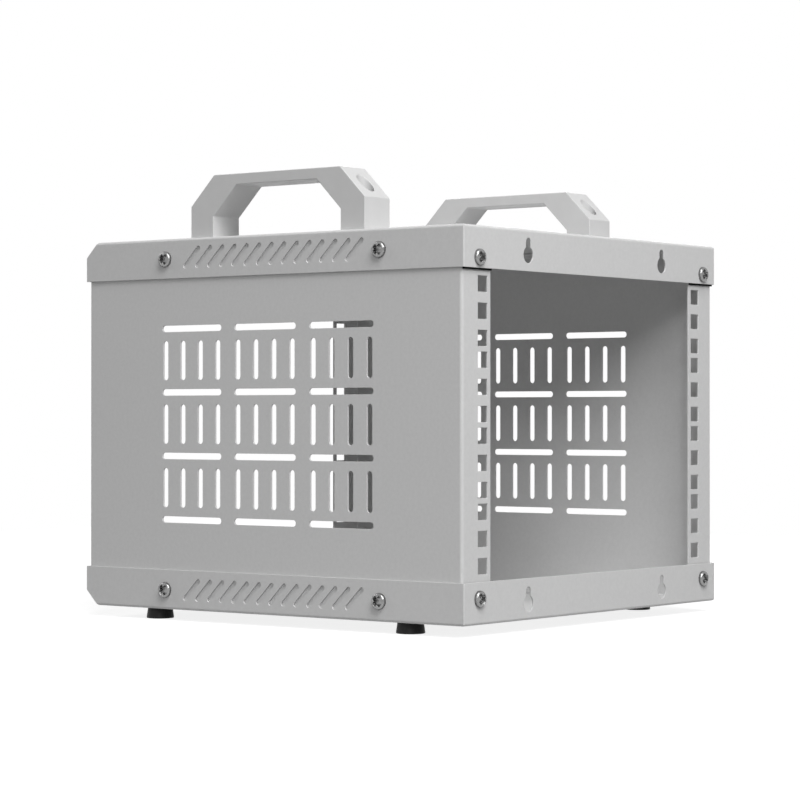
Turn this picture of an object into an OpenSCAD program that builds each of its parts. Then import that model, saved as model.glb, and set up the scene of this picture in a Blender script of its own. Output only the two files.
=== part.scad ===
// Desktop equipment rack of folded sheet steel, open at the front and the rear.
// Two vented side panels carry the punched rails, two folded covers wrap them,
// and the whole stands on rubber feet and is lifted by two handles on top.
// Millimetres. +Z is up, the front faces -Y, and the origin is on the floor under the middle.

/* [Bay] */
// Rack units between the covers
rack_units = 4; // [2:1:9]
// Clear width between the rails
rail_opening = 221; // [214:0.5:226]
// Distance between the two lines of square holes
hole_span = 236.525; // [232:0.025:242]
// Side of a square rail hole
hole_size = 9.5; // [6:0.1:10]
// Bay height left over above and below the rack units
bay_margin = 2.65; // [1:0.05:12]

/* [Covers] */
// Width over the covers
cover_w = 279.5; // [272:0.5:330]
// Depth over the covers
cover_d = 302; // [240:1:450]
// Sheet thickness of the covers
cover_t = 1; // [0.8:0.1:1.5]
// Height of the covers' folded edges
edge_h = 25; // [22:0.5:40]
// Outside radius of the covers' folds
cover_fold_r = 1.8; // [1.6:0.1:4]
// Outside radius of the covers' upright corners
corner_r = 0.8; // [0.3:0.1:1.5]
// Run and drop of the sloped fold at the rear
slope_run = 10; // [6:0.5:11]

/* [Side panels] */
// Sheet thickness of the side panels
panel_t = 1.2; // [0.8:0.1:2]
// Outside radius of the side panels' folds
panel_fold_r = 2; // [2:0.1:4]
// Clearance between a panel and the folded sides of the covers
side_gap = 0.15; // [0.05:0.05:0.6]
// Clearance between a panel's flanges and the flat of the covers
flat_gap = 0.1; // [0.05:0.05:0.6]
// Notch where a rail and a flange meet at the front
corner_notch = 3; // [2.5:0.1:6]

/* [Side vents] */
// Width of every vent slot
vent_w = 4; // [2:0.1:6]
// Length of a lying slot
lying_len = 49.3; // [30:0.1:54]
// Length of an upright slot
upright_len = 24.7; // [12:0.1:28]
// Upright slots in one group
uprights = 4; // [2:1:5]
// Spacing of the upright slots in a group
upright_pitch = 14.5; // [8:0.1:14.9]
// Spacing of the groups along the depth
group_pitch = 60; // [56:0.5:80]
// Spacing of the rows of lying slots
row_pitch = 40; // [36:0.5:60]
// Least plain border in front of and behind the groups
group_border = 55; // [30:1:80]
// Least plain border above and below the rows
row_border = 28; // [15:1:40]
// How far the vents sit behind the middle of the panel
vent_shift = 1; // [-5:0.5:5]

/* [Cover cut-outs] */
// Width of a leaning slot
lean_w = 3; // [1.5:0.1:4]
// Length of a leaning slot over its round ends
lean_len = 18.4; // [8:0.1:20]
// Lean of the slots from upright
lean_angle = 45; // [0:1:45]
// Spacing of the leaning slots
lean_pitch = 10; // [7:0.1:16]
// Plain sheet between a side screw and the first leaning slot
lean_border = 19.5; // [15:0.5:40]
// Height of the slots' middle over the lower edge of the fold
lean_rise = 12.9; // [11.5:0.1:13]
// Diameter of a keyhole's round part
key_d = 10; // [8:0.1:12]
// Width of a keyhole's slot
key_slot_w = 5; // [3:0.1:6]
// Distance from the middle of the round part to the slot's end
key_reach = 10.2; // [8:0.1:10.5]
// Height of the round part's middle over the lower edge of the fold
key_rise = 9.8; // [7:0.1:10]
// Distance between the two keyholes
key_span = 149; // [100:1:190]

/* [Foam strips] */
// Thickness of a foam strip
pad_t = 1.1; // [0.5:0.1:3]
// Height of a front foam strip
pad_h = 20; // [18:0.5:20]
// How far the upper front strips show below the top cover
pad_show = 1.1; // [0:0.1:2]
// How far the other strips stay in from a cover's free edge
pad_hide = 1; // [0.5:0.1:2]
// How far a strip stays in from the outside of the panel
pad_inset = 0.2; // [0:0.1:2]

/* [Cover screws] */
// Diameter of the screws in the covers and handles
screw_d = 5; // [4:0.1:5]
// Diameter of their pan heads
head_d = 9.8; // [8:0.1:10]
// Height of their pan heads
head_h = 3; // [2.4:0.1:3.4]
// Thread that stands out beyond a nut
screw_tail = 1.5; // [0.5:0.1:3]
// Distance between the two screws in each side of a cover
side_screw_span = 171; // [120:1:200]
// Height of the side screws over the lower edge of the fold
side_screw_rise = 12.2; // [8:0.1:14]
// How far the side screws and handles sit behind the middle of the top's flat
fixing_shift = 1.5; // [-5:0.5:5]
// Height of the upper front and rear screws over the top cover's edge
upper_screw_rise = 6.2; // [6:0.1:7]
// Distance of the lower front screws below the bottom cover's edge
lower_screw_drop = 9.7; // [6:0.1:12]
// Distance of the lower rear screws below the bottom cover's edge
rear_screw_drop = 6.2; // [6:0.1:7]
// Diameter of a clinch nut
nut_d = 9.5; // [8.5:0.1:10]
// Height of a clinch nut
nut_h = 3; // [2:0.1:5]
// Diameter of the spigot that presses a clinch nut into its sheet
spigot_d = 6.6; // [6.2:0.1:7]

/* [Handles] */
// Width of a handle
handle_w = 24.6; // [18:0.1:26]
// Length of a handle
handle_l = 139; // [110:1:170]
// Height of a handle
handle_h = 39; // [34:0.5:60]
// Thickness of a handle's legs
leg_t = 18.6; // [15:0.1:22]
// Thickness of the grip
grip_t = 6.8; // [5:0.1:12]
// Run and drop of a handle's outer slope
shoulder = 19; // [12:0.1:22]
// Run and drop of a handle's inner slope
inner_shoulder = 18.8; // [8:0.1:20]
// Distance of a handle from the cover's side
handle_inset = 6.3; // [3:0.1:12]
// Handle material under a screw head
handle_seat = 8; // [5:0.5:12]
// Width across flats of the nuts under the handles
hex_w = 8; // [7:0.1:9]
// Height of the nuts under the handles
hex_h = 4; // [3:0.1:5]

/* [Feet] */
// Diameter of a foot at the floor
foot_d = 17.7; // [16:0.1:24]
// Diameter of a foot under the cover
foot_top_d = 15.6; // [15:0.1:22]
// Height of a foot
foot_h = 7.1; // [6.5:0.1:16]
// Distance of a foot's middle from the side
foot_x = 15.5; // [14:0.5:40]
// Distance of a foot's middle from the front and the rear
foot_y = 50.5; // [30:0.5:70]
// Depth of the screw recess in a foot
foot_recess = 4.2; // [3.6:0.1:5]
// Diameter of a foot's screw
foot_screw_d = 4; // [3:0.1:4]
// Diameter of its head
foot_head_d = 8; // [7:0.1:8]
// Height of its head
foot_head_h = 2.4; // [1.8:0.1:2.6]
// Diameter of the washer in a foot
washer_d = 9; // [8.5:0.1:10]
// Thickness of the washer
washer_t = 0.8; // [0.5:0.1:1]
// Width across flats of a foot's nut
foot_hex_w = 7; // [6:0.1:8]
// Height of a foot's nut
foot_hex_h = 3.2; // [2.4:0.1:4]

/* [Fits] */
// Radial clearance of a screw in its hole
hole_gap = 0.25; // [0.1:0.05:0.5]
// Radial clearance left in place of a thread
thread_gap = 0.05; // [0.02:0.01:0.1]
// Radial clearance of a clinch nut's spigot
press_gap = 0.02; // [0.01:0.01:0.05]
// Radial clearance of a screw head in a handle
bore_gap = 0.4; // [0.2:0.05:0.8]
// Radial clearance of the washer in a foot
washer_gap = 0.2; // [0.1:0.05:0.4]

/* [Hidden] */
$fn = 48;
steel_grey = [0.76, 0.76, 0.76];
handle_grey = [0.82, 0.82, 0.82];
rubber_black = [0.05, 0.05, 0.05];
foam_black = [0.03, 0.03, 0.03];
plated_steel = [0.62, 0.62, 0.64];

// Height of a rack unit, and the heights of its three holes
unit_h = 44.45;
unit_holes = [6.35, 22.225, 38.1];

// Extra length of a cutting tool past each face
past = 1;
// Share of a pan head's height that is straight-sided
head_rim = 0.45;
// Cross recess of a screw: the arms' width and depth as shares of the head's height,
// and their length as a share of its diameter
cross_w = 0.42;
cross_depth = 0.6;
cross_len = 0.52;
// Bevel at a screw's tip and at a foot's lower edge
tip = 0.5;

// Levels, from the floor up
body_low = foot_h;
bay_low = body_low + edge_h;
bay_h = rack_units * unit_h + 2 * bay_margin;
bay_mid = bay_low + bay_h / 2;
bay_high = bay_low + bay_h;
body_high = bay_high + edge_h;
rack_low = bay_low + bay_margin;

// Half sizes across, along and up the rack
side_x = cover_w / 2;
end_y = cover_d / 2;
panel_x = side_x - cover_t - side_gap;
panel_y = end_y - cover_t - pad_t;
rail_x = rail_opening / 2;
panel_z = (body_high - body_low) / 2 - cover_t - flat_gap;
// Outside radius of the panels' folds, which lie in the covers' folds, and the corner notch past it
panel_r = max(panel_fold_r, cover_fold_r - cover_t);
notch = max(corner_notch, panel_r);
// Middle of the flat part of the covers, and of the fixings on it
flat_mid_y = -slope_run / 2;
fixing_y = flat_mid_y + fixing_shift;

// Places of the fasteners
rail_screw_x = (panel_x + rail_x) / 2;
handle_x = side_x - handle_inset - handle_w / 2;
handle_hole_y = (handle_l - leg_t) / 2;
foot_at_x = side_x - foot_x;
foot_at_y = end_y - foot_y;

// Screw lengths, from what each one clamps
side_screw_len = cover_t + side_gap + panel_t + nut_h + screw_tail;
end_screw_len = cover_t + pad_t + panel_t + nut_h + screw_tail;
flat_stack = cover_t + flat_gap + panel_t;
handle_screw_len = handle_seat + flat_stack + hex_h + screw_tail;
foot_screw_len = washer_t + foot_h - foot_recess + flat_stack + foot_hex_h + screw_tail;

// Counts of the patterns that fill a length
vent_groups = floor((2 * panel_y - 2 * group_border) / group_pitch);
vent_rows = floor((bay_h - 2 * row_border) / row_pitch);
lean_count = floor((side_screw_span - 2 * lean_border) / lean_pitch) + 1;

// Sides and levels
left = -1;
right = 1;
front = -1;
rear = 1;
low = -1;
high = 1;

// Lower edge of a cover's folds
function fold_low(level) = level == high ? bay_high : body_low;
function side_screw_z(level) = fold_low(level) + side_screw_rise;
function end_screw_z(level, end) =
  level == high ? bay_high + upper_screw_rise
  : end == front ? bay_low - lower_screw_drop
  : bay_low - rear_screw_drop;

// Middle of copy i of n, spaced by a pitch about zero
function place(i, n, pitch) = (i - (n - 1) / 2) * pitch;

// Directions and roundings at the corners of a closed outline
function unit(v) = v / norm(v);
function back_dir(pts, i) = unit(pts[(i + len(pts) - 1) % len(pts)] - pts[i]);
function next_dir(pts, i) = unit(pts[(i + 1) % len(pts)] - pts[i]);
function half_angle(pts, i) = acos(back_dir(pts, i) * next_dir(pts, i)) / 2;
function arc_run(pts, i, r) = r / tan(half_angle(pts, i));
function arc_middle(pts, i, r) =
  pts[i] + unit(back_dir(pts, i) + next_dir(pts, i)) * r / sin(half_angle(pts, i));
function arc_ends(pts, i, r) = [
  pts[i] + back_dir(pts, i) * arc_run(pts, i, r),
  pts[i] + next_dir(pts, i) * arc_run(pts, i, r)
];

// Convex outline with its own radius at each corner, 0 for a sharp one
module rounded_outline(pts, radii) {
  polygon([for (i = [0 : len(pts) - 1]) each radii[i] > 0 ? arc_ends(pts, i, radii[i]) : [pts[i]]]);
  for (i = [0 : len(pts) - 1])
    if (radii[i] > 0)
      translate(arc_middle(pts, i, radii[i]))
        circle(radii[i]);
}

// Round-ended slot cut along X: its length runs along Z
module slot_cut(w, length, through) {
  cube([through, w, length - w], center = true);
  for (end = [-1, 1])
    translate([0, 0, end * (length - w) / 2])
      rotate([0, 90, 0])
        cylinder(d = w, h = through, center = true);
}

// Turns what points up along +Z to point out of a side, an end or the top and bottom
module facing_side(side) {
  rotate([0, side * 90, 0])
    children();
}
module facing_end(end) {
  rotate([-end * 90, 0, 0])
    children();
}

// Pan-head screw: the head sits on z = 0 and the thread runs down
module pan_screw(d, head, height, length) {
  rim = height * head_rim;
  dome = height - rim;
  dome_r = (pow(head / 2, 2) + dome * dome) / (2 * dome);
  translate([0, 0, tip - length])
    cylinder(d = d, h = length - tip);
  translate([0, 0, -length])
    cylinder(d1 = d - 2 * tip, d2 = d, h = tip);
  difference() {
    intersection() {
      cylinder(d = head, h = height);
      translate([0, 0, height - dome_r])
        sphere(dome_r, $fn = 96);
    }
    for (turn = [0, 90])
      rotate([0, 0, turn])
        translate([0, 0, height * (1 - cross_depth / 2) + past / 2])
          cube([head * cross_len, height * cross_w, height * cross_depth + past], center = true);
  }
}

// Clinch nut: it lies on the sheet's inside at z = 0, its body above and its spigot in the sheet
module clinch_nut() {
  difference() {
    union() {
      cylinder(d = nut_d, h = nut_h);
      translate([0, 0, -panel_t])
        cylinder(d = spigot_d, h = panel_t);
    }
    translate([0, 0, -panel_t - past])
      cylinder(d = screw_d + 2 * thread_gap, h = panel_t + nut_h + 2 * past);
  }
}

// Hexagon nut that stands on z = 0
module hex_nut(width, height, d) {
  difference() {
    cylinder(d = width / cos(30), h = height, $fn = 6);
    translate([0, 0, -past])
      cylinder(d = d + 2 * thread_gap, h = height + 2 * past);
  }
}

// The two screw places on a cover's side, and on its front or rear fold
module at_side_screws(side, level, x) {
  for (end = [front, rear])
    translate([side * x, fixing_y + end * side_screw_span / 2, side_screw_z(level)])
      children();
}
module at_end_screws(level, end, y) {
  for (side = [left, right])
    translate([side * rail_screw_x, end * y, end_screw_z(level, end)])
      children();
}
// The two screw places of a handle, at a height
module at_handle_screws(side, z) {
  for (end = [front, rear])
    translate([side * handle_x, fixing_y + end * handle_hole_y, z])
      children();
}
// The four places of the feet, at a height
module at_feet(z) {
  for (side = [left, right], end = [front, rear])
    translate([side * foot_at_x, end * foot_at_y, z])
      children();
}

// Section of a cover across the rack, shrunk by an inset, from a lower end up
module cover_across(inset, z) {
  x = side_x - inset;
  top = edge_h - inset;
  r = cover_fold_r - inset;
  rounded_outline([[-x, z], [x, z], [x, top], [-x, top]], [0, 0, r, r]);
}
// Section of a cover along the rack, with the sloped fold at the rear
module cover_along(inset, z) {
  y = end_y - inset;
  top = edge_h - inset;
  r = cover_fold_r - inset;
  slope = end_y + edge_h - slope_run - inset * sqrt(2);
  rounded_outline([[-y, z], [y, z], [y, slope - y], [slope - top, top], [-y, top]], [0, 0, r, r, r]);
}
// Plan of a cover
module cover_plan(inset) {
  x = side_x - inset;
  y = end_y - inset;
  r = max(corner_r - inset, 0);
  rounded_outline([[-x, -y], [x, -y], [x, y], [-x, y]], [r, r, r, r]);
}
module cover_block(inset, z) {
  intersection() {
    rotate([90, 0, 0])
      linear_extrude(cover_d + 2 * past, center = true)
        cover_across(inset, z);
    rotate([90, 0, 90])
      linear_extrude(cover_w + 2 * past, center = true)
        cover_along(inset, z);
    translate([0, 0, z - past])
      linear_extrude(edge_h + 3 * past)
        cover_plan(inset);
  }
}
// Folded pan with its free edge on z = 0 and its flat on top
module cover_pan() {
  difference() {
    cover_block(0, 0);
    cover_block(cover_t, -past);
  }
}

// Keyhole with its narrow end up, cut through the front fold
module keyhole_cut() {
  through = 2 * cover_t + 2 * past;
  rotate([90, 0, 0]) {
    cylinder(d = key_d, h = through, center = true);
    translate([0, key_reach - key_slot_w / 2, 0])
      cylinder(d = key_slot_w, h = through, center = true);
  }
  translate([0, 0, (key_reach - key_slot_w / 2) / 2])
    cube([key_slot_w, through, key_reach - key_slot_w / 2], center = true);
}
// Holes and slots in the folds of a cover
module fold_cuts(level) {
  through = 2 * cover_t + 2 * past;
  hole = screw_d + 2 * hole_gap;
  for (side = [left, right]) {
    translate([side * key_span / 2, -end_y, fold_low(level) + key_rise])
      keyhole_cut();
    for (i = [0 : lean_count - 1]) {
      slot_y = flat_mid_y + place(i, lean_count, lean_pitch);
      translate([side * side_x, slot_y, fold_low(level) + lean_rise])
        rotate([lean_angle, 0, 0])
          slot_cut(lean_w, lean_len, through);
    }
    at_side_screws(side, level, side_x)
      facing_side(side)
        cylinder(d = hole, h = through, center = true);
  }
  for (end = [front, rear])
    at_end_screws(level, end, end_y)
      facing_end(end)
        cylinder(d = hole, h = through, center = true);
}
module top_cover() {
  color(steel_grey)
    difference() {
      translate([0, 0, bay_high])
        cover_pan();
      fold_cuts(high);
      for (side = [left, right])
        at_handle_screws(side, body_high)
          cylinder(d = screw_d + 2 * hole_gap, h = 2 * cover_t + 2 * past, center = true);
    }
}
module bottom_cover() {
  color(steel_grey)
    difference() {
      translate([0, 0, bay_low])
        mirror([0, 0, 1])
          cover_pan();
      fold_cuts(low);
      at_feet(body_low)
        cylinder(d = foot_screw_d + 2 * hole_gap, h = 2 * cover_t + 2 * past, center = true);
    }
}

// Section of the left panel: its web and the two folded edges at a distance either side of the middle
module channel_section(reach) {
  inner_x = panel_x - panel_t;
  inner_reach = reach - panel_t;
  inner_r = panel_r - panel_t;
  end_x = rail_x - past;
  difference() {
    rounded_outline(
      [[-panel_x, -reach], [-rail_x, -reach], [-rail_x, reach], [-panel_x, reach]],
      [panel_r, 0, 0, panel_r]);
    rounded_outline(
      [[-inner_x, -inner_reach], [-end_x, -inner_reach], [-end_x, inner_reach], [-inner_x, inner_reach]],
      [inner_r, 0, 0, inner_r]);
  }
}
// Folded blank of the left panel: rails in front and behind, flanges above and below, open corners
module panel_tray() {
  difference() {
    translate([0, 0, bay_mid]) {
      linear_extrude(2 * (panel_z - notch), center = true)
        channel_section(panel_y);
      rotate([90, 0, 0])
        linear_extrude(2 * (panel_y - notch), center = true)
          channel_section(panel_z);
    }
    for (level = [low, high])
      translate([-panel_x, panel_y, bay_mid + level * panel_z])
        cube([2 * panel_x, 2 * slope_run, 2 * slope_run], center = true);
  }
}
// Square holes of one rail
module rail_holes(end) {
  for (unit_no = [0 : rack_units - 1], rise = unit_holes)
    translate([-hole_span / 2, end * panel_y, rack_low + unit_no * unit_h + rise])
      cube([hole_size, 2 * panel_t + 2 * past, hole_size], center = true);
}
// Vent pattern: rows of lying slots with upright slots between them
module vent_cuts() {
  through = 2 * panel_t + 2 * past;
  for (g = [0 : vent_groups - 1]) {
    group_y = vent_shift + place(g, vent_groups, group_pitch);
    for (row = [0 : vent_rows])
      translate([-panel_x, group_y, bay_mid + place(row, vent_rows + 1, row_pitch)])
        rotate([90, 0, 0])
          slot_cut(vent_w, lying_len, through);
    for (row = [0 : vent_rows - 1], i = [0 : uprights - 1]) {
      slot_y = group_y + place(i, uprights, upright_pitch);
      translate([-panel_x, slot_y, bay_mid + place(row, vent_rows, row_pitch)])
        slot_cut(vent_w, upright_len, through);
    }
  }
}
module side_panel() {
  hole = spigot_d + 2 * press_gap;
  through = 2 * panel_t + 2 * past;
  difference() {
    panel_tray();
    vent_cuts();
    for (end = [front, rear])
      rail_holes(end);
    for (level = [low, high]) {
      at_side_screws(left, level, panel_x)
        facing_side(left)
          cylinder(d = hole, h = through, center = true);
      for (end = [front, rear])
        at_end_screws(level, end, panel_y)
          facing_end(end)
            cylinder(d = hole, h = through, center = true);
    }
    at_handle_screws(left, bay_mid + panel_z)
      cylinder(d = screw_d + 2 * hole_gap, h = through, center = true);
    at_feet(bay_mid - panel_z)
      cylinder(d = foot_screw_d + 2 * hole_gap, h = through, center = true);
  }
}
module left_side_panel() {
  color(steel_grey)
    side_panel();
}
module right_side_panel() {
  color(steel_grey)
    mirror([1, 0, 0])
      side_panel();
}

// Arched outline of a handle from one end, standing on zero
function handle_outline() = [
  [0, 0], [leg_t, 0],
  [leg_t, handle_h - grip_t - inner_shoulder], [leg_t + inner_shoulder, handle_h - grip_t],
  [handle_l - leg_t - inner_shoulder, handle_h - grip_t],
  [handle_l - leg_t, handle_h - grip_t - inner_shoulder], [handle_l - leg_t, 0],
  [handle_l, 0], [handle_l, handle_h - shoulder], [handle_l - shoulder, handle_h],
  [shoulder, handle_h], [0, handle_h - shoulder]
];
module handle(side) {
  color(handle_grey)
    difference() {
      translate([side * handle_x, fixing_y - handle_l / 2, body_high])
        rotate([90, 0, 90])
          linear_extrude(handle_w, center = true)
            polygon(handle_outline());
      at_handle_screws(side, body_high) {
        translate([0, 0, handle_seat])
          cylinder(d = head_d + 2 * bore_gap, h = handle_h);
        translate([0, 0, -past])
          cylinder(d = screw_d + 2 * hole_gap, h = handle_seat + 2 * past);
      }
    }
}
module left_handle() {
  handle(left);
}
module right_handle() {
  handle(right);
}
module handle_screws(side) {
  color(plated_steel)
    at_handle_screws(side, body_high + handle_seat)
      pan_screw(screw_d, head_d, head_h, handle_screw_len);
}
module handle_nuts(side) {
  color(plated_steel)
    at_handle_screws(side, body_high - flat_stack - hex_h)
      hex_nut(hex_w, hex_h, screw_d);
}

// Tapered rubber foot with a washer recess from below
module foot(side, end) {
  color(rubber_black)
    translate([side * foot_at_x, end * foot_at_y, 0])
      difference() {
        union() {
          cylinder(d1 = foot_d - 2 * tip, d2 = foot_d, h = tip);
          translate([0, 0, tip])
            cylinder(d1 = foot_d, d2 = foot_top_d, h = foot_h - tip);
        }
        translate([0, 0, -past])
          cylinder(d = washer_d + 2 * washer_gap, h = foot_recess + past);
        translate([0, 0, -past])
          cylinder(d = foot_screw_d + 2 * hole_gap, h = foot_h + 2 * past);
      }
}
module foot_screws() {
  color(plated_steel)
    at_feet(foot_recess - washer_t)
      rotate([180, 0, 0])
        pan_screw(foot_screw_d, foot_head_d, foot_head_h, foot_screw_len);
}
module foot_washers() {
  color(plated_steel)
    at_feet(foot_recess - washer_t)
      difference() {
        cylinder(d = washer_d, h = washer_t);
        translate([0, 0, -past])
          cylinder(d = foot_screw_d + 2 * hole_gap, h = washer_t + 2 * past);
      }
}
module foot_nuts() {
  color(plated_steel)
    at_feet(body_low + flat_stack)
      hex_nut(foot_hex_w, foot_hex_h, foot_screw_d);
}

// Foam strip between a rail and a cover's front or rear fold
module pad(side, level, end) {
  room = end == front ? edge_h : edge_h - slope_run;
  margin = level == high && end == front ? -pad_show : pad_hide;
  height = min(pad_h, room - margin - cover_fold_r);
  x0 = rail_x;
  x1 = panel_x - pad_inset;
  z0 = level == high ? bay_high + margin : bay_low - margin - height;
  color(foam_black)
    difference() {
      translate([side * (x0 + x1) / 2, end * (panel_y + pad_t / 2), z0 + height / 2])
        cube([x1 - x0, pad_t, height], center = true);
      at_end_screws(level, end, panel_y)
        facing_end(end)
          cylinder(d = screw_d + 2 * hole_gap, h = 2 * pad_t + 2 * past, center = true);
    }
}

module side_screws(side, level) {
  color(plated_steel)
    at_side_screws(side, level, side_x)
      facing_side(side)
        pan_screw(screw_d, head_d, head_h, side_screw_len);
}
module end_screws(level, end) {
  color(plated_steel)
    at_end_screws(level, end, end_y)
      facing_end(end)
        pan_screw(screw_d, head_d, head_h, end_screw_len);
}
module side_nuts(side, level) {
  color(plated_steel)
    at_side_screws(side, level, panel_x - panel_t)
      facing_side(-side)
        clinch_nut();
}
module end_nuts(level, end) {
  color(plated_steel)
    at_end_screws(level, end, panel_y - panel_t)
      facing_end(-end)
        clinch_nut();
}

left_side_panel();
right_side_panel();
top_cover();
bottom_cover();
left_handle();
right_handle();
foot(left, front);  // front_left_foot
foot(right, front);  // front_right_foot
foot(left, rear);  // rear_left_foot
foot(right, rear);  // rear_right_foot
pad(left, high, front);  // top_front_left_pad
pad(right, high, front);  // top_front_right_pad
pad(left, high, rear);  // top_rear_left_pad
pad(right, high, rear);  // top_rear_right_pad
pad(left, low, front);  // bottom_front_left_pad
pad(right, low, front);  // bottom_front_right_pad
pad(left, low, rear);  // bottom_rear_left_pad
pad(right, low, rear);  // bottom_rear_right_pad
side_screws(left, high);  // top_left_screws
side_screws(right, high);  // top_right_screws
side_screws(left, low);  // bottom_left_screws
side_screws(right, low);  // bottom_right_screws
end_screws(high, front);  // top_front_screws
end_screws(low, front);  // bottom_front_screws
end_screws(high, rear);  // top_rear_screws
end_screws(low, rear);  // bottom_rear_screws
side_nuts(left, high);  // top_left_nuts
side_nuts(right, high);  // top_right_nuts
side_nuts(left, low);  // bottom_left_nuts
side_nuts(right, low);  // bottom_right_nuts
end_nuts(high, front);  // top_front_nuts
end_nuts(low, front);  // bottom_front_nuts
end_nuts(high, rear);  // top_rear_nuts
end_nuts(low, rear);  // bottom_rear_nuts
handle_screws(left);  // left_handle_screws
handle_screws(right);  // right_handle_screws
handle_nuts(left);  // left_handle_nuts
handle_nuts(right);  // right_handle_nuts
foot_screws();
foot_washers();
foot_nuts();
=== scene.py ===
import math

import bmesh
import bpy
from mathutils import Matrix, Vector


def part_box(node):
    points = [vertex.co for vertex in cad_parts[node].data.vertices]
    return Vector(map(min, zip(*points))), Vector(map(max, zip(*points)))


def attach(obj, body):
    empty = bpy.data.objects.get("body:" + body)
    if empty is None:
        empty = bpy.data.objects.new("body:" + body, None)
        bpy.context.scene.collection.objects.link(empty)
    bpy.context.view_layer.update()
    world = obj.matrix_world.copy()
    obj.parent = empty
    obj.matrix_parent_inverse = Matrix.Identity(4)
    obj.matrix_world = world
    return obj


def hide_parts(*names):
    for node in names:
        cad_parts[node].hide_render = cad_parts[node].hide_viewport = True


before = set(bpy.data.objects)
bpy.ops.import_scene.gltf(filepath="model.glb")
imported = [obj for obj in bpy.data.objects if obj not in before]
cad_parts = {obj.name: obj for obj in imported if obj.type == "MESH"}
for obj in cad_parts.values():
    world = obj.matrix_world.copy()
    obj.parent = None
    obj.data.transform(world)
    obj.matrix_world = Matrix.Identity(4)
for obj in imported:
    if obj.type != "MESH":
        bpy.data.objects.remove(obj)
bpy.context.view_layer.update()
MM = 0.001

# Camera, in metres and degrees, from the rail holes and the covers' corners
IMAGE_PIXELS = 800
FOCAL_PIXELS = 2704.2
SENSOR_MM = 36
CAMERA_AT = (-1.3997, -1.07405, 0.13009)
CAMERA_TURN = 52.42
CAMERA_TILT = 0.294

# Softboxes: metres away, degrees left of the front and above level, watts and width in metres
LAMP_TARGET = Vector((0, 0, 0.12))
SOFTBOXES = {
    "high_softbox": {"away": 4, "turn": 40, "rise": 58, "power": 76, "width": 1.6},
    "front_softbox": {"away": 1.6, "turn": 20, "rise": 38, "power": 11.4, "width": 0.7},
    "side_softbox": {"away": 4, "turn": 55, "rise": 26, "power": 27, "width": 1.2},
    "back_softbox": {"away": 4, "turn": 166, "rise": 30, "power": 26, "width": 1.6},
    "right_softbox": {"away": 4, "turn": -116, "rise": 14, "power": 40, "width": 1.6},
}

# Pale floor, and its glow, which the camera and shiny pieces see and which lights nothing
FLOOR_SIZE = 2.2
FLOOR_GREY = 0.4
FLOOR_GLOW = 0.84

# Rounding of edges
SHEET_EDGE = 0.2 * MM
HANDLE_EDGE = 0.5 * MM
FOOT_EDGE = 0.6 * MM
FOAM_EDGE = 0.2 * MM
NUT_EDGE = 0.25 * MM
HEAD_EDGE = 0.12 * MM
HARD_EDGE = math.radians(30)
FLAT_ANGLE = math.radians(0.5)
FLAT_WEIGHT = 90

# Pan-head screws: thread and head sizes, and the cross recess as shares of the head
COVER_SCREW = {"thread": 5 * MM, "pitch": 0.8 * MM, "head": 9.8 * MM, "height": 3 * MM}
FOOT_SCREW = {"thread": 4 * MM, "pitch": 0.7 * MM, "head": 8 * MM, "height": 2.4 * MM}
THREAD_DEPTH = 0.55
SCREW_TIP = 0.5 * MM
HEAD_RIM = 0.2
HEAD_CROWN = 2.6
HEAD_RINGS = 8
CROSS_REACH = 0.36
CROSS_ARM = 0.15
CROSS_RING = 0.42
CROSS_DEPTH = 0.95
CROSS_TAPER = 0.7
SCREW_TURNS = (45, 38, 52, 47)

# Rubber feet
FOOT_TOP = 15.6 * MM
FOOT_RECESS = 9.4 * MM
FOOT_RECESS_DEPTH = 4.2 * MM
FOOT_HOLE = 4.5 * MM

# Lowest and highest value that a noise usually takes
NOISE_SPAN = (0.3, 0.7)

ROUND_STEPS = 64
SAME_POINT = 0.002 * MM
BODY = "root"
LEVELS = ("top", "bottom")
SIDES = ("left", "right")
ENDS = ("front", "rear")
OUTWARD = {
    "left": Vector((-1, 0, 0)), "right": Vector((1, 0, 0)),
    "front": Vector((0, -1, 0)), "rear": Vector((0, 1, 0)),
}
UP = Vector((0, 0, 1))


def new_finish(name):
    """A material with a Principled shader: the material, its node tree and the shader's sockets."""
    material = bpy.data.materials.new(name)
    material.use_nodes = True
    tree = material.node_tree
    return material, tree, tree.nodes["Principled BSDF"].inputs


def grain(tree, size, detail=2.0):
    """Noise on the piece's own coordinates, with grains of about the given size in metres."""
    place = tree.nodes.new("ShaderNodeTexCoord")
    noise = tree.nodes.new("ShaderNodeTexNoise")
    noise.inputs["Scale"].default_value = 1 / size
    noise.inputs["Detail"].default_value = detail
    tree.links.new(place.outputs["Object"], noise.inputs["Vector"])
    return noise.outputs["Fac"]


def spread(tree, value, low, high):
    """The usual span of a noise, taken to low and high."""
    span = tree.nodes.new("ShaderNodeMapRange")
    for socket, level in zip(("From Min", "From Max", "To Min", "To Max"), (*NOISE_SPAN, low, high)):
        span.inputs[socket].default_value = level
    tree.links.new(value, span.inputs["Value"])
    return span.outputs["Result"]


def grey(tree, noise, dark, light):
    """A grey that a noise moves between dark and light."""
    mix = tree.nodes.new("ShaderNodeMix")
    mix.data_type = "RGBA"
    for socket, level in zip([s for s in mix.inputs if s.type == "RGBA"], (dark, light)):
        socket.default_value = (level, level, level, 1)
    tree.links.new(spread(tree, noise, low=0, high=1), mix.inputs["Factor"])
    return [s for s in mix.outputs if s.type == "RGBA"][0]


def relief(tree, height, depth, strength):
    """Bump from a height, with the depth in metres."""
    bump = tree.nodes.new("ShaderNodeBump")
    bump.inputs["Distance"].default_value = depth
    bump.inputs["Strength"].default_value = strength
    tree.links.new(height, bump.inputs["Height"])
    return bump.outputs["Normal"]


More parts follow.
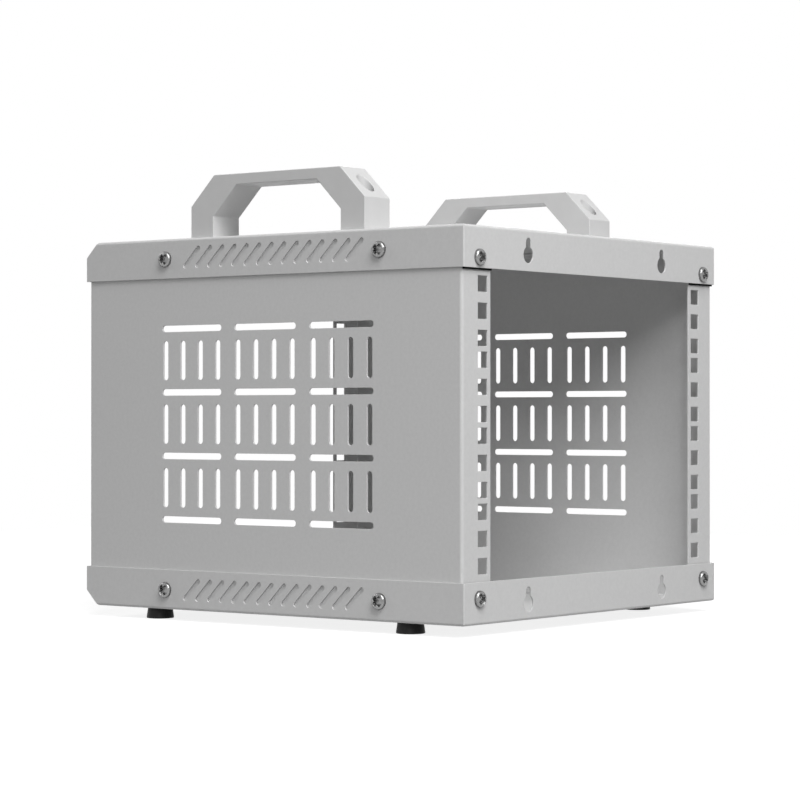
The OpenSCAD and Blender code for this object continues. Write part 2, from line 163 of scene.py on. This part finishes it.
def powder_coat():
    """Light grey powder coat: fine orange peel, semi-matt, with a faint mottle."""
    material, tree, shader = new_finish("powder_coat")
    peel = grain(tree, size=0.9 * MM)
    mottle = grain(tree, size=2.2 * MM, detail=4)
    tree.links.new(grey(tree, mottle, dark=0.635, light=0.665), shader["Base Color"])
    tree.links.new(spread(tree, peel, low=0.46, high=0.56), shader["Roughness"])
    tree.links.new(relief(tree, peel, depth=0.04 * MM, strength=0.25), shader["Normal"])
    return material


def handle_plastic():
    """Light grey moulded plastic with a fine spark-eroded grain."""
    material, tree, shader = new_finish("handle_plastic")
    sparks = grain(tree, size=0.45 * MM, detail=3)
    flow = grain(tree, size=14 * MM)
    tree.links.new(grey(tree, flow, dark=0.64, light=0.67), shader["Base Color"])
    tree.links.new(spread(tree, sparks, low=0.42, high=0.54), shader["Roughness"])
    tree.links.new(relief(tree, sparks, depth=0.03 * MM, strength=0.3), shader["Normal"])
    return material


def foot_rubber():
    """Black rubber, slightly shiny, with a fine skin."""
    material, tree, shader = new_finish("foot_rubber")
    skin = grain(tree, size=0.7 * MM, detail=4)
    tree.links.new(grey(tree, skin, dark=0.004, light=0.008), shader["Base Color"])
    tree.links.new(spread(tree, skin, low=0.36, high=0.48), shader["Roughness"])
    shader["Specular IOR Level"].default_value = 0.25
    tree.links.new(relief(tree, skin, depth=0.05 * MM, strength=0.3), shader["Normal"])
    return material


def foam_and_painted_shade():
    """Black closed-cell foam; its black edge below the top cover's front flange is painted shade for the
    dark crevice line on the rails.
    """
    material, tree, shader = new_finish("foam_and_painted_shade")
    cells = grain(tree, size=0.5 * MM, detail=3)
    tree.links.new(grey(tree, cells, dark=0.003, light=0.008), shader["Base Color"])
    shader["Roughness"].default_value = 0.95
    shader["Specular IOR Level"].default_value = 0.1
    tree.links.new(relief(tree, cells, depth=0.2 * MM, strength=0.6), shader["Normal"])
    return material


def zinc_plate():
    """Zinc-plated steel with a faint cloud in its shine."""
    material, tree, shader = new_finish("zinc_plate")
    cloud = grain(tree, size=1.5 * MM, detail=3)
    tree.links.new(grey(tree, cloud, dark=0.22, light=0.28), shader["Base Color"])
    shader["Metallic"].default_value = 1
    tree.links.new(spread(tree, cloud, low=0.2, high=0.3), shader["Roughness"])
    tree.links.new(relief(tree, cloud, depth=0.02 * MM, strength=0.2), shader["Normal"])
    return material


def merged_copy(node):
    """A copy of a CAD node's mesh as one closed surface with its flats whole."""
    bm = bmesh.new()
    bm.from_mesh(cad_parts[node].data)
    bmesh.ops.remove_doubles(bm, verts=bm.verts, dist=SAME_POINT)
    bmesh.ops.dissolve_limit(bm, angle_limit=FLAT_ANGLE, verts=bm.verts, edges=bm.edges)
    return bm


def hard_edges(bm):
    """The edges where two faces meet at a clear angle."""
    return [edge for edge in bm.edges if edge.calc_face_angle(0) > HARD_EDGE]


def round_edges(bm, edges, radius, segments, clamp=False):
    """Rounds the edges with the given radius."""
    bmesh.ops.bevel(
        bm, geom=edges, offset=radius, offset_type="OFFSET", segments=segments, profile=0.5,
        affect="EDGES", material=-1, clamp_overlap=clamp,
    )


def add_piece(bm, name, finish, stands_for):
    """Makes the piece's object, smooth over its rounded edges, and ties it to the frame."""
    mesh = bpy.data.meshes.new(name)
    for face in bm.faces:
        face.smooth = True
    bm.to_mesh(mesh)
    bm.free()
    mesh.materials.append(finish)
    piece = bpy.data.objects.new(name, mesh)
    bpy.context.scene.collection.objects.link(piece)
    level = piece.modifiers.new("flat_sides", "WEIGHTED_NORMAL")
    level.weight = FLAT_WEIGHT
    level.keep_sharp = False
    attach(piece, BODY)
    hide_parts(stands_for)


def coated_sheet(node, finish):
    """A folded sheet with its cut edges softened by the coat."""
    bm = merged_copy(node)
    round_edges(bm, hard_edges(bm), SHEET_EDGE, segments=2)
    add_piece(bm, f"{node}_coated", finish, node)


def moulded_handle(node, finish):
    """A handle with rounded moulded edges."""
    bm = merged_copy(node)
    round_edges(bm, hard_edges(bm), HANDLE_EDGE, segments=4)
    add_piece(bm, f"{node}_moulded", finish, node)


def foam_pad_and_painted_shade(node, finish):
    """A cut strip of foam with soft edges; its black edge below the top cover's flange is painted shade for
    the crevice there.
    """
    bm = merged_copy(node)
    round_edges(bm, hard_edges(bm), FOAM_EDGE, segments=2)
    add_piece(bm, f"{node}_soft", finish, node)


def plated_ring(node, finish):
    """Nuts or washers with their edges broken."""
    bm = merged_copy(node)
    round_edges(bm, hard_edges(bm), NUT_EDGE, segments=2, clamp=True)
    add_piece(bm, f"{node}_plated", finish, node)


def spun(outline):
    """Turns a half outline of radius and height points about the upright axis."""
    bm = bmesh.new()
    points = [bm.verts.new((radius, 0, height)) for radius, height in outline]
    lines = [bm.edges.new(pair) for pair in zip(points, points[1:])]
    bmesh.ops.spin(
        bm, geom=points + lines, cent=(0, 0, 0), axis=UP, angle=2 * math.pi,
        steps=ROUND_STEPS, use_merge=True,
    )
    bmesh.ops.remove_doubles(bm, verts=bm.verts, dist=SAME_POINT)
    return bm


def rubber_foot(node, finish):
    """A tapered foot with a rounded lower edge and the washer's recess from below."""
    low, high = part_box(node)
    wide = (high.x - low.x) / 2
    tall = high.z - low.z
    outline = [
        (FOOT_HOLE / 2, tall), (FOOT_TOP / 2, tall), (wide, 0), (FOOT_RECESS / 2, 0),
        (FOOT_RECESS / 2, FOOT_RECESS_DEPTH), (FOOT_HOLE / 2, FOOT_RECESS_DEPTH), (FOOT_HOLE / 2, tall),
    ]
    bm = spun(outline)
    bmesh.ops.recalc_face_normals(bm, faces=bm.faces)
    round_edges(bm, hard_edges(bm), FOOT_EDGE, segments=3)
    bmesh.ops.translate(bm, vec=((low.x + high.x) / 2, (low.y + high.y) / 2, low.z), verts=bm.verts)
    add_piece(bm, f"{node}_rubber", finish, node)


def dome_height(screw, radius):
    """Height of a pan head at a radius: nearly level in the middle and round at the rim."""
    out = min(2 * radius / screw["head"], 1)
    crown = (1 - out ** HEAD_CROWN) ** (1 / HEAD_CROWN)
    return screw["height"] * (HEAD_RIM + (1 - HEAD_RIM) * crown)


def screw_outline(screw, length):
    """Half outline from the tip up the thread and over the head to the ring round the cross."""
    crest = screw["thread"] / 2
    root = crest - THREAD_DEPTH * screw["pitch"]
    turns = int((length - SCREW_TIP) / screw["pitch"])
    outline = [(0, -length), (root, -length)]
    for turn in range(turns):
        start = SCREW_TIP - length + turn * screw["pitch"]
        outline += [(root, start), (crest, start + screw["pitch"] / 2)]
    outline += [(root, 0), (screw["head"] / 2, 0)]
    for ring in range(HEAD_RINGS + 1):
        radius = screw["head"] * (0.5 + (CROSS_RING - 0.5) * (ring / HEAD_RINGS) ** 2)
        outline.append((radius, dome_height(screw, radius)))
    return outline


def cross_loop(bm, screw):
    """The plus-shaped edge of the recess on the dome."""
    reach = screw["head"] * CROSS_REACH
    arm = screw["head"] * CROSS_ARM
    points = []
    for quarter in range(4):
        turn = Matrix.Rotation(quarter * math.pi / 2, 3, "Z")
        for x, y in ((reach, -arm), (reach, arm), (arm, arm)):
            points.append(bm.verts.new(turn @ Vector((x, y, dome_height(screw, math.hypot(x, y))))))
    return [bm.edges.new(pair) for pair in zip(points, points[1:] + points[:1])]


def pan_screw(screw, length):
    """A screw with its head standing on level zero, a cross recess and a thread that runs down."""
    bm = spun(screw_outline(screw, length))
    rim = [edge for edge in bm.edges if edge.is_boundary]
    cross = cross_loop(bm, screw)
    bmesh.ops.bridge_loops(bm, edges=rim + cross)
    walls = bmesh.ops.extrude_edge_only(bm, edges=cross)["geom"]
    for vert in (part for part in walls if isinstance(part, bmesh.types.BMVert)):
        vert.co.x *= CROSS_TAPER
        vert.co.y *= CROSS_TAPER
        vert.co.z = screw["height"] * (1 - CROSS_DEPTH)
    bmesh.ops.contextual_create(bm, geom=[part for part in walls if isinstance(part, bmesh.types.BMEdge)])
    bmesh.ops.recalc_face_normals(bm, faces=bm.faces)
    head = [edge for edge in hard_edges(bm) if min(vert.co.z for vert in edge.verts) > SAME_POINT]
    round_edges(bm, head, HEAD_EDGE, segments=2, clamp=True)
    return bm


def middles(low, high, width):
    """Middles of the heads at the two ends of a span, or of the one head that fills it."""
    if high - low < 2 * width:
        return [(low + high) / 2]
    return [low + width / 2, high - width / 2]


def screw_seats(node, screw, outward):
    """Where the heads of a node's screws sit, and the length of their threads."""
    low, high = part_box(node)
    axis = max(range(3), key=lambda i: abs(outward[i]))
    spans = [middles(low[i], high[i], screw["head"]) for i in range(3)]
    length = high[axis] - low[axis] - screw["height"]
    spans[axis] = [low[axis] + length if outward[axis] > 0 else high[axis] - length]
    return [Vector((x, y, z)) for x in spans[0] for y in spans[1] for z in spans[2]], length


def fitted_screws(node, screw, outward, finish):
    """The screws of a node, each with its cross turned its own way."""
    bm = bmesh.new()
    seats, length = screw_seats(node, screw, outward)
    for seat, turn in zip(seats, SCREW_TURNS):
        one = pan_screw(screw, length)
        stand = UP.rotation_difference(outward).to_matrix().to_4x4()
        twist = Matrix.Rotation(math.radians(turn), 4, "Z")
        bmesh.ops.transform(one, matrix=Matrix.Translation(seat) @ stand @ twist, verts=one.verts)
        copy = bpy.data.meshes.new("screw")
        one.to_mesh(copy)
        one.free()
        bm.from_mesh(copy)
        bpy.data.meshes.remove(copy)
    add_piece(bm, f"{node}_plated", finish, node)


def white_for_camera(tree):
    """1 for rays from the camera, off metal and through glass, and 0 for the rays that light the object."""
    path = tree.nodes.new("ShaderNodeLightPath")
    total = path.outputs["Is Camera Ray"]
    for kind in ("Is Glossy Ray", "Is Transmission Ray"):
        most = tree.nodes.new("ShaderNodeMath")
        most.operation = "MAXIMUM"
        tree.links.new(total, most.inputs[0])
        tree.links.new(path.outputs[kind], most.inputs[1])
        total = most.outputs["Value"]
    return total


def make_world():
    """White to the camera, and dark to the object, which the softboxes light."""
    world = bpy.data.worlds.new("studio")
    bpy.context.scene.world = world
    world.use_nodes = True
    tree = world.node_tree
    white = tree.nodes["Background"].inputs
    white["Color"].default_value = (1, 1, 1, 1)
    tree.links.new(white_for_camera(tree), white["Strength"])


def make_floor():
    """A pale floor that takes the object's shadow and runs into the white."""
    bm = bmesh.new()
    bmesh.ops.create_grid(bm, x_segments=1, y_segments=1, size=FLOOR_SIZE / 2)
    mesh = bpy.data.meshes.new("floor")
    bm.to_mesh(mesh)
    bm.free()
    floor = bpy.data.objects.new("floor", mesh)
    bpy.context.scene.collection.objects.link(floor)
    material, tree, shader = new_finish("pale_floor")
    shader["Base Color"].default_value = (FLOOR_GREY, FLOOR_GREY, FLOOR_GREY, 1)
    shader["Roughness"].default_value = 0.9
    shader["Specular IOR Level"].default_value = 0
    shader["Emission Color"].default_value = (1, 1, 1, 1)
    glow = tree.nodes.new("ShaderNodeMath")
    glow.operation = "MULTIPLY"
    glow.inputs[1].default_value = FLOOR_GLOW
    tree.links.new(white_for_camera(tree), glow.inputs[0])
    tree.links.new(glow.outputs["Value"], shader["Emission Strength"])
    mesh.materials.append(material)


def add_softbox(name, lamp):
    """A square area lamp round the rack that looks at its middle."""
    light = bpy.data.lights.new(name, "AREA")
    light.shape = "SQUARE"
    light.size = lamp["width"]
    light.energy = lamp["power"]
    turn = math.radians(lamp["turn"])
    rise = math.radians(lamp["rise"])
    outward = Vector((-math.sin(turn) * math.cos(rise), -math.cos(turn) * math.cos(rise), math.sin(rise)))
    softbox = bpy.data.objects.new(name, light)
    softbox.location = LAMP_TARGET + lamp["away"] * outward
    softbox.rotation_mode = "QUATERNION"
    softbox.rotation_quaternion = (-outward).to_track_quat("-Z", "Y")
    bpy.context.scene.collection.objects.link(softbox)


def make_camera():
    """The camera of the photograph: its place, turn, tilt and focal length."""
    data = bpy.data.cameras.new("camera")
    data.sensor_width = SENSOR_MM
    data.lens = SENSOR_MM * FOCAL_PIXELS / IMAGE_PIXELS
    camera = bpy.data.objects.new("camera", data)
    camera.location = CAMERA_AT
    camera.rotation_euler = (math.radians(90 + CAMERA_TILT), 0, math.radians(-CAMERA_TURN))
    bpy.context.scene.collection.objects.link(camera)
    bpy.context.scene.camera = camera


coat = powder_coat()
plastic = handle_plastic()
rubber = foot_rubber()
foam_shade_finish = foam_and_painted_shade()
zinc = zinc_plate()
for side in SIDES:
    coated_sheet(f"{side}_side_panel", coat)
    moulded_handle(f"{side}_handle", plastic)
    fitted_screws(f"{side}_handle_screws", COVER_SCREW, UP, zinc)
    plated_ring(f"{side}_handle_nuts", zinc)
    for end in ENDS:
        rubber_foot(f"{end}_{side}_foot", rubber)
        for level in LEVELS:
            # Foam pads: black foam, partly a real strip and partly painted shade for the dark crevice line
            # under the cover's front flange
            foam_pad_and_painted_shade(f"{level}_{end}_{side}_pad", foam_shade_finish)
for level in LEVELS:
    coated_sheet(f"{level}_cover", coat)
    for face, outward in OUTWARD.items():
        fitted_screws(f"{level}_{face}_screws", COVER_SCREW, outward, zinc)
        plated_ring(f"{level}_{face}_nuts", zinc)
fitted_screws("foot_screws", FOOT_SCREW, -UP, zinc)
plated_ring("foot_washers", zinc)
plated_ring("foot_nuts", zinc)

make_world()
make_floor()
for softbox_name, lamp in SOFTBOXES.items():
    add_softbox(softbox_name, lamp)
make_camera()
bpy.context.scene.view_settings.view_transform = "Standard"
